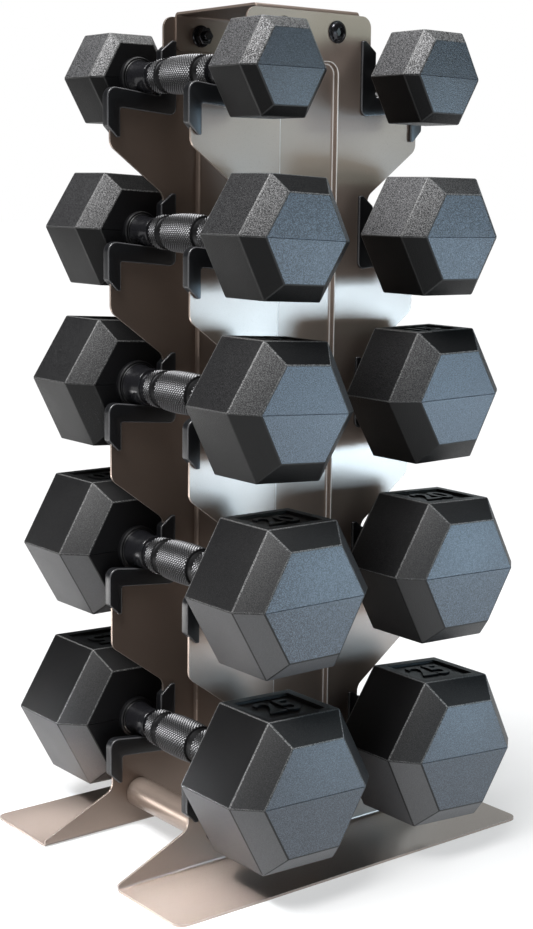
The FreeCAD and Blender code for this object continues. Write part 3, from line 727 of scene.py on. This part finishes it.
def liner_mesh():
    """The plastic channel over the front left arm, its top at z = 0."""
    middle = HALF_DEPTH - SHEET / 2
    tip, heel = ARM + LINER_WALL, WAIST + LINER_WALL
    outline = round_off([
        (-tip, -31.5, 2), (-tip, 0, 8), (-heel, -SADDLE_FALL, 3), (-heel, 29.5, 2), (-56, 38, 1.5),
        (-52, 38, 1.5), (-52, -22, 6), (-106.7, -17, 2), (-106.7, -40.5, 1), (-110, -40.5, 1),
    ], 12.0)
    slot = round_off([
        (-ARM, -70, 0), (-ARM, -LINER_WALL, 4), (-WAIST, -SADDLE_FALL - LINER_WALL, 4),
        (-WAIST, 60, 0), (-20, 60, 0), (-20, -70, 0),
    ], 15.0)
    bm = bmesh.new()
    prism(bm, outline, -middle - LINER_HALF, -middle + LINER_HALF)
    block = dress(link("liner_block", finish_mesh(bm, "liner_block")), PLASTIC, PLASTIC_HIGHLIGHT)
    bm = bmesh.new()
    prism(bm, slot, -middle - SHEET / 2, -middle + SHEET / 2)
    cutter = link("liner_cutter", finish_mesh(bm, "liner_cutter"))
    cut = block.modifiers.new("slot", "BOOLEAN")
    cut.operation = "DIFFERENCE"
    cut.solver = "EXACT"
    cut.object = cutter
    # The rounded edges get the plastic with painted highlight.
    soften(block, 0.9, 3, 50.0).material = 1
    bpy.context.view_layer.update()
    mesh = evaluated(block)
    bpy.data.objects.remove(cutter)
    mesh.polygons.foreach_set("use_smooth", [True] * len(mesh.polygons))
    mesh.set_sharp_from_angle(angle=math.radians(40))
    return mesh


def make_cradles():
    """A front and a back liner for each arm of each tier."""
    mesh = liner_mesh()
    mirror = Matrix.Scale(-1, 4, (0, 1, 0))
    for side, sign in SIDES.items():
        turn = Matrix.Rotation(math.pi if sign > 0 else 0, 4, "Z")
        for tier in TIERS:
            lift = Matrix.Translation((0, 0, LINER_TOP[tier] * MM))
            name = f"cradle_pair_{tier}_{side}"
            obj = gather("moulded_" + name, mesh, [lift @ turn, lift @ turn @ mirror])
            bm = bmesh.new()
            bm.from_mesh(obj.data)
            bmesh.ops.recalc_face_normals(bm, faces=bm.faces)
            bm.to_mesh(obj.data)
            bm.free()
            dress(obj, PLASTIC, PLASTIC_HIGHLIGHT, slot="cradle")
            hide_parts(name)
            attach(obj, "rack")


# ---------------------------------------------------------------- dumbbells

FLANK, ENDS, EDGES, FACE, HUB, BROW, UNDER = range(7)  # a head's material slots, each with its own painted light or shade
ON_GRIP, ON_COLLAR = range(2)  # a handle's material slots


def hexagon(flats):
    """Corners of a hexagon that stands on a flat, from its size across flats."""
    radius = flats / math.sqrt(3)
    return [(radius * math.cos(math.pi * k / 3), radius * math.sin(math.pi * k / 3)) for k in range(6)]


def number_mesh(text, height):
    """Raised numerals lying in the XY plane, centred on the origin."""
    curve = bpy.data.curves.new("number", "FONT")
    curve.body = text
    curve.size = height * MM
    curve.align_x = "CENTER"
    curve.align_y = "CENTER"
    curve.extrude = PLAQUE["raise"] * MM
    curve.bevel_depth = 0.25 * MM
    curve.offset = 0.45 * MM
    curve.resolution_u = 6
    obj = link("number", curve)
    bpy.context.view_layer.update()
    return evaluated(obj)


def head_mesh(tier):
    """One rubber head along +Y: bevelled hexagon, sunk plaque with numerals, parting line and boss."""
    flats, face, inner, full_in, full_out, outer, _, neck = HEADS[tier]
    bm = bmesh.new()
    rings = []
    for size, y in ((face, inner), (flats, full_in), (flats, full_out), (face, outer)):
        rings.append([bm.verts.new((x, y, z)) for x, z in hexagon(size)])
    caps = [bm.faces.new(rings[0]), bm.faces.new(reversed(rings[-1]))]
    for low, high in zip(rings, rings[1:]):
        skin(bm, low, high)
    bmesh.ops.recalc_face_normals(bm, faces=bm.faces)
    # Faces take slots by the way they look, for their painted light or shade.
    for face in bm.faces:
        slanted = 0.2 < abs(face.normal.y) < 0.95
        if face.normal.z < -0.1:
            face.material_index = UNDER
        elif slanted:
            face.material_index = BROW if abs(face.normal.x) < 0.1 else ENDS
    # The inner end face takes the hub's painted shade.
    caps[0].material_index = HUB
    caps[1].material_index = FACE
    hard = [e for e in bm.edges if e.calc_face_angle() > 0.3]
    bmesh.ops.bevel(
        bm, geom=hard, offset=HEAD_EDGE, segments=3, profile=0.5, affect="EDGES", material=EDGES)
    top = max(bm.faces, key=lambda f: (f.normal.z > 0.999) * f.calc_area())
    steps = ((flats * PLAQUE_SHARE["margin"], 0.0), (0.35, -0.2), (PLAQUE["wall"], -PLAQUE["depth"]))
    for thickness, depth in steps:
        bmesh.ops.inset_region(bm, faces=[top], thickness=thickness, depth=depth, use_even_offset=True)
    floor = top.calc_center_median().z
    for level in (SEAM["half"], -SEAM["half"], 0.0):
        bmesh.ops.bisect_plane(
            bm, geom=bm.verts[:] + bm.edges[:] + bm.faces[:], plane_co=(0, 0, level), plane_no=(0, 0, 1))
    bm.normal_update()
    seam = [v for v in bm.verts if abs(v.co.z) < 1e-5]
    for vert in seam:
        vert.co -= vert.normal * SEAM["depth"]
    rim = neck + 5
    before = set(bm.faces)
    ring_solid(bm, [
        (neck - 1, inner - 5), (neck + 2.4, inner - 5), (neck + 2.8, inner - 4.4), (rim - 0.9, inner - 4.4),
        (rim, inner - 3.5), (rim, inner + 1.0), (neck - 1, inner + 1.0),
    ], 56)
    # The boss also takes the hub's painted shade.
    for face in set(bm.faces) - before:
        face.material_index = HUB
    body = finish_mesh(bm, "head", 26.0)
    digits = number_mesh(WEIGHTS[tier].lstrip("0"), flats * PLAQUE_SHARE["numeral"])
    spot = Matrix.Translation((0, (full_in + full_out) / 2 * MM, (floor + PLAQUE["raise"]) * MM))
    digits.transform(spot @ Matrix.Rotation(math.pi, 4, "Z"))
    joined = bmesh.new()
    joined.from_mesh(body)
    joined.from_mesh(digits)
    mesh = bpy.data.meshes.new("head")
    joined.to_mesh(mesh)
    joined.free()
    return mesh


def handle_mesh(tier):
    """Knurled grip, smooth waists, knurled side rings, grooves and polished collars."""
    inner = HEADS[tier][2]
    grip, neck = HEADS[tier][6:8]
    count, pitch, depth = KNURL_CUT["count"], KNURL_CUT["pitch"], KNURL_CUT["depth"]
    half_rows, ring_start = 7, 29.2
    grip_end = half_rows * pitch
    waist = [
        (grip_end + 0.2, grip - 1.6), (grip_end + 0.8, grip - 2.6), (28.3, grip - 2.9), (28.9, grip - 2.4),
    ]
    ring = [ring_start + row * pitch / 2 for row in range(7)]
    ring_end = ring[-1]
    tail = [
        (ring_end + 0.3, grip - 2.6), (ring_end + 0.9, neck - 1.6), (ring_end + 1.3, neck - 2.2),
        (45.8, neck - 2.2), (46.1, neck - 1.2), (46.6, neck - 0.4), (47.4, neck), (60.0, neck),
        (inner - 5.2, neck + 1.8), (inner - 4.2, neck + 1.2), (inner + 3, neck - 0.6),
    ]

    def swell(y):
        return grip - 0.9 * (y / grip_end) ** 2

    def ring_radius(y):
        return grip - 1.5 - 0.5 * (y - ring_start) / (ring_end - ring_start)

    spots = [row * pitch / 2 for row in range(-2 * half_rows, 2 * half_rows + 1)]
    rows = [(y, swell(y), True) for y in spots]
    half = [(y, r, False) for y, r in waist] + [(y, ring_radius(y), True) for y in ring]
    half += [(y, r, False) for y, r in tail]
    rows = [(-y, r, k) for y, r, k in reversed(half)] + rows + half
    bm = bmesh.new()
    segments = 2 * count
    relief = bm.verts.layers.float.new("relief")
    rings = []
    for number, (y, radius, knurled) in enumerate(rows):
        ring_verts = []
        for index in range(segments):
            peak = (index + number) % 2 == 0
            r = radius + (depth if peak else -depth) if knurled else radius
            a = math.pi * index / count
            vert = bm.verts.new((r * math.cos(a), y, r * math.sin(a)))
            # The relief value sets the knurl's painted highlight and painted shade.
            vert[relief] = float(peak) if knurled else 0.1
            ring_verts.append(vert)
        rings.append(ring_verts)
    for number in range(len(rows) - 1):
        low, high = rings[number], rings[number + 1]
        knurled = rows[number][2] and rows[number + 1][2]
        for index in range(segments):
            following = (index + 1) % segments
            quad = (low[index], high[index], high[following], low[following])
            if not knurled:
                face = bm.faces.new(quad)
                smooth_zone = abs(rows[number][0]) > ring_end and abs(rows[number + 1][0]) > ring_end
                face.material_index = ON_COLLAR if smooth_zone else ON_GRIP
                continue
            if (index + number) % 2 == 0:
                bm.faces.new((quad[0], quad[1], quad[3]))
                bm.faces.new((quad[1], quad[2], quad[3]))
            else:
                bm.faces.new((quad[0], quad[1], quad[2]))
                bm.faces.new((quad[0], quad[2], quad[3]))
    bm.faces.new(reversed(rings[0])).material_index = ON_COLLAR
    bm.faces.new(rings[-1]).material_index = ON_COLLAR
    return finish_mesh(bm, "handle", 28.0)


def make_dumbbells():
    """Ten dumbbells, each placed and rolled in its cradles."""
    for tier in TIERS:
        head, handle = head_mesh(tier), handle_mesh(tier)
        for side in SIDES:
            base = f"dumbbell_{WEIGHTS[tier]}_{side}"
            low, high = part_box(base + "_handle")
            middle = Matrix.Translation((low + high) / 2)
            roll = Matrix.Rotation(math.radians(ROLL[side][tier - 1]), 4, "Y")
            bar = link("turned_" + base + "_handle", handle.copy())
            bar.matrix_world = middle @ roll
            dress(bar, KNURL, COLLAR, slot="handle")
            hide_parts(base + "_handle")
            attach(bar, base)
            for end, turn in (("front", math.pi), ("back", 0)):
                node = f"{base}_{end}_head"
                obj = link("moulded_" + node, head.copy())
                obj.matrix_world = middle @ roll @ Matrix.Rotation(turn, 4, "Z")
                dress(obj, *RUBBER[tier, side], slot="head")
                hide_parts(node)
                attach(obj, base)
            dress(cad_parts[base + "_cores"], IRON)


# ---------------------------------------------------------------- studio

def make_camera():
    """The camera, placed in heights of the rack."""
    yaw, pitch, roll = math.radians(38.413), math.radians(9.572), math.radians(0.648)
    eye = [part * RACK_TOP for part in (-1.2394, -1.5727, 0.7968)]
    forward = Vector((math.sin(yaw) * math.cos(pitch), math.cos(yaw) * math.cos(pitch), -math.sin(pitch)))
    right = Vector((math.cos(yaw), -math.sin(yaw), 0))
    up = right.cross(forward)
    across = right * math.cos(roll) + up * math.sin(roll)
    upright = up * math.cos(roll) - right * math.sin(roll)
    data = bpy.data.cameras.new("camera")
    data.sensor_width = 36.0
    data.lens = 63.78
    data.clip_end = 100
    camera = bpy.data.objects.new("camera", data)
    bpy.context.scene.collection.objects.link(camera)
    camera.matrix_world = Matrix((
        (across.x, upright.x, -forward.x, eye[0]),
        (across.y, upright.y, -forward.y, eye[1]),
        (across.z, upright.z, -forward.z, eye[2]),
        (0, 0, 0, 1),
    ))
    bpy.context.scene.camera = camera


# Soft boxes: the spot each faces, its offset from that spot, width and height, watts, colour and
# the spread of its beam in degrees
BOXES = {
    "front_right_box": ((0.0, 0.0, 0.19), (1.03, -1.25, 0.0), (0.50, 0.35), 8.6, (0.49, 0.76, 1.0), 180.0),
    "upper_right_box": ((0.0, 0.0, 0.92), (1.05, -1.25, 0.0), (0.5, 0.5), 1.6, (0.78, 1.0, 0.98), 180.0),
    "front_box": ((0.0, 0.0, 0.36), (-0.24, -1.58, 0.16), (0.8, 0.6), 2.0, (0.72, 0.88, 1.0), 180.0),
    "left_strip": ((0.0, 0.0, 0.42), (-1.05, -0.95, 0.2), (0.07, 1.2), 0.8, (1.0, 0.99, 0.98), 180.0),
    "back_right_box": ((0.05, -0.1, 0.0), (1.06, 1.06, 0.58), (0.7, 0.4), 1.2, (0.86, 0.96, 1.0), 180.0),
    "low_left_box": ((-0.15, 0.1, 0.06), (-0.40, 0.45, 0.0), (0.45, 0.14), 1.3, (1.0, 0.99, 0.98), 180.0),
    "front_foot_box": (
        (-0.165, -0.10, 0.0), (-0.215, 0.0, 0.42), (0.07, 0.09), 0.21, (0.88, 0.93, 1.0), 18.0),
    "back_foot_box": (
        (-0.165, 0.10, 0.0), (-0.215, 0.0, 0.42), (0.07, 0.09), 0.16, (0.88, 0.93, 1.0), 18.0),
    "high_box": ((0.1, -0.1, 0.58), (-0.05, 0.18, 0.46), (0.35, 0.3), 1.3, (1.0, 1.0, 1.0), 180.0),
}


def soft_box(name, target, away, size, power, colour, beam):
    """A rectangular light that faces target from the offset away."""
    data = bpy.data.lights.new(name, "AREA")
    data.shape = "RECTANGLE"
    data.size, data.size_y = size
    data.energy = power
    data.color = colour
    data.spread = math.radians(beam)
    light = bpy.data.objects.new(name, data)
    bpy.context.scene.collection.objects.link(light)
    light.location = Vector(target) + Vector(away)
    light.rotation_euler = (-Vector(away)).to_track_quat("-Z", "Y").to_euler()
    light.visible_camera = False


def make_floor():
    """A pale floor that lifts its own shadows a little."""
    bm = bmesh.new()
    bmesh.ops.create_grid(bm, x_segments=8, y_segments=8, size=20)
    mesh = bpy.data.meshes.new("floor")
    bm.to_mesh(mesh)
    bm.free()
    floor = link("studio_floor", mesh)
    material, tree, shader = new_material("white_floor")
    mottle = noise(tree, 3.0, 1.0)
    tint = ramp(tree, mottle.outputs["Fac"], [(0.0, (0.29, 0.29, 0.29)), (1.0, (0.31, 0.31, 0.31))])
    tree.links.new(tint.outputs["Color"], shader.inputs["Base Color"])
    shader.inputs["Roughness"].default_value = 0.6
    shader.inputs["Emission Color"].default_value = (1.0, 1.0, 1.0, 1.0)
    shader.inputs["Emission Strength"].default_value = 0.56
    floor.data.materials.append(material)


def make_world():
    """A dim room that the camera sees as a white backdrop."""
    world = bpy.data.worlds.new("studio")
    bpy.context.scene.world = world
    world.use_nodes = True
    tree = world.node_tree
    room = tree.nodes["Background"]
    room.inputs["Color"].default_value = (1.0, 1.0, 1.0, 1.0)
    room.inputs["Strength"].default_value = 0.03
    backdrop = tree.nodes.new("ShaderNodeBackground")
    backdrop.inputs["Color"].default_value = (1.0, 1.0, 1.0, 1.0)
    sight = tree.nodes.new("ShaderNodeLightPath")
    choice = tree.nodes.new("ShaderNodeMixShader")
    tree.links.new(sight.outputs["Is Camera Ray"], choice.inputs["Fac"])
    tree.links.new(room.outputs["Background"], choice.inputs[1])
    tree.links.new(backdrop.outputs["Background"], choice.inputs[2])
    tree.links.new(choice.outputs["Shader"], tree.nodes["World Output"].inputs["Surface"])


def make_lights():
    """A broad light from above and the soft boxes round the rack."""
    sun = bpy.data.lights.new("overhead", "SUN")
    sun.energy = 6.2
    sun.angle = math.radians(34)
    lamp = bpy.data.objects.new("overhead", sun)
    bpy.context.scene.collection.objects.link(lamp)
    lamp.rotation_euler = Vector((0.45, 0.02, -1.0)).to_track_quat("-Z", "Y").to_euler()
    for name, settings in BOXES.items():
        soft_box(name, *settings)


make_plates()
make_bracket()
make_tubes()
make_fasteners()
make_cradles()
make_dumbbells()
dress(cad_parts["tube_inserts"], STEEL)
make_camera()
make_floor()
make_world()
make_lights()
bpy.context.scene.view_settings.view_transform = "Standard"
